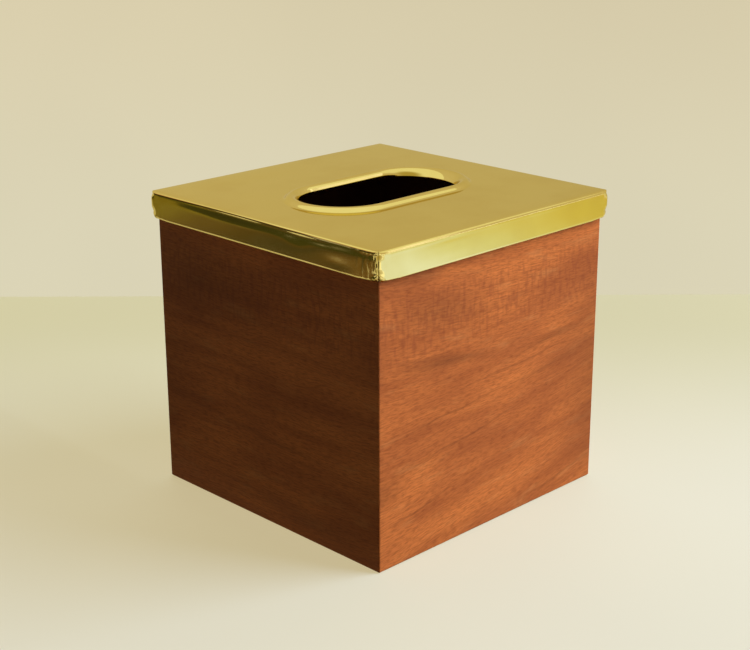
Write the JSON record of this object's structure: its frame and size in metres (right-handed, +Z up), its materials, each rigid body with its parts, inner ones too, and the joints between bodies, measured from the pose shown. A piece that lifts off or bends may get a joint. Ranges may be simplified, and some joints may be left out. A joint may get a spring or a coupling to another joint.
{
  "type": "tissue box holder",
  "caption": "Square wooden holder for a cube box of tissues, with a lift-off brass lid that has a folded rim and a beaded slot.",
  "frame": {"origin": "on the surface that the holder stands on, under the middle of the box", "axes": "+Z up, and the way the lid lifts off; +X along the length of the slot; -Y is the front"},
  "size_m": [0.145, 0.145, 0.1403],
  "materials": {
    "lacquered_hardwood": "satin lacquer",
    "plywood": "sanded",
    "polished_brass": "polished"
  },
  "bodies": {
    "box": {"wall_front": "lacquered_hardwood", "wall_back": "lacquered_hardwood", "wall_left": "lacquered_hardwood", "wall_right": "lacquered_hardwood", "base_panel": "plywood"},
    "lid": {"lid": "polished_brass"}
  },
  "joints": [
    {"name": "lid_lift", "type": "slide", "parent": "box", "child": "lid", "axis": [0, 0, 1], "range_m": [0, 0.14]}
  ]
}
